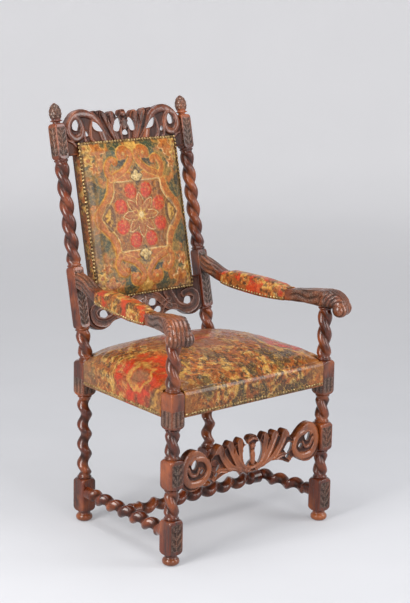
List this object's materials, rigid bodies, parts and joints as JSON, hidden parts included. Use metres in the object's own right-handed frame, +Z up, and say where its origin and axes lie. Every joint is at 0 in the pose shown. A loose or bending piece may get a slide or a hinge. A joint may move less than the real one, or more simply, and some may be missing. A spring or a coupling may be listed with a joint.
{
  "type": "turned walnut armchair",
  "caption": "High-backed armchair with spiral-turned legs, pierced carved rails, scrolled arms and nailed, embossed leather on seat, back and arms.",
  "frame": {"origin": "on the floor, under the middle of the whole chair's box", "axes": "+Z is up, the sitter faces -Y, and +X is the sitter's left"},
  "size_m": [0.7196, 0.6986, 1.2443],
  "materials": {
    "wood": "waxed, dark red-brown",
    "wood_plain": "bare, planed",
    "leather_seat": "embossed, painted and gilded, worn",
    "leather_back": "embossed, painted and gilded",
    "leather_arms": "embossed, painted and gilded, worn",
    "leather_plain": "plain, satin",
    "nails": "aged, domed",
    "webbing": "woven jute",
    "canvas": "woven hessian",
    "stuffing": "matted horsehair"
  },
  "bodies": {
    "root": {"front_leg_right": "wood", "back_post_right": "wood", "side_stretcher_right": "wood", "seat_rail_right": "wood_plain", "seat_brace_front_right": "wood_plain", "seat_brace_back_right": "wood_plain", "back_stile_right": "wood_plain", "arm_right": "wood", "arm_stuffing_right": "stuffing", "arm_leather_right": "leather_arms", "front_leg_left": "wood", "back_post_left": "wood", "side_stretcher_left": "wood", "seat_rail_left": "wood_plain", "seat_brace_front_left": "wood_plain", "seat_brace_back_left": "wood_plain", "back_stile_left": "wood_plain", "arm_left": "wood", "arm_stuffing_left": "stuffing", "arm_leather_left": "leather_arms", "cross_stretcher": "wood", "front_stretcher": "wood", "crest_rail": "wood", "lower_back_rail": "wood", "seat_rail_front": "wood_plain", "seat_rail_back": "wood_plain", "seat_webbing_long": "webbing", "seat_webbing_cross": "webbing", "seat_base_cloth": "canvas", "seat_stuffing": "stuffing", "seat_leather": "leather_seat", "back_webbing": "webbing", "back_base_cloth": "canvas", "back_stuffing": "stuffing", "back_leather": "leather_back", "back_outer_cover": "leather_plain"}
  },
  "joints": []
}
